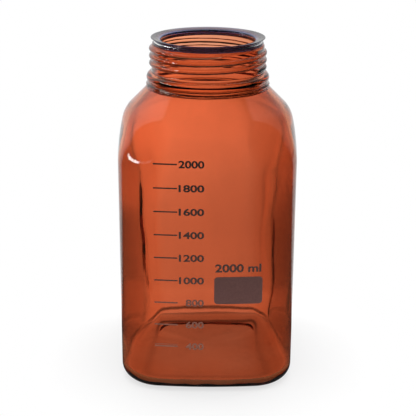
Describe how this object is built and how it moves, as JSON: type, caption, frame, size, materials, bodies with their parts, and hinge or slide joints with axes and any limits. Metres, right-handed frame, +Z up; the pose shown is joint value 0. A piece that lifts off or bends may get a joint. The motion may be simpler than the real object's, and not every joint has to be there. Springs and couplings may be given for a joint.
{
  "type": "square glass media bottle",
  "caption": "Square amber glass media bottle with rounded edges, a wide round screw neck, a removable pouring ring and printed volume marks.",
  "frame": {"origin": "middle of the footprint, in the plane of the bearing ring of the base", "axes": "+Z up along the neck's axis; the printed face looks along -Y, so +X is to the right of someone reading the print"},
  "size_m": [0.122, 0.1221, 0.2341],
  "materials": {
    "glass": "clear amber-brown glass, smooth",
    "ring": "translucent blue plastic",
    "print": "fired enamel print, matt"
  },
  "bodies": {
    "root": {"glass_bottle": "glass", "pouring_ring": "ring", "graduation_marks": "print", "writing_field": "print"}
  },
  "joints": []
}
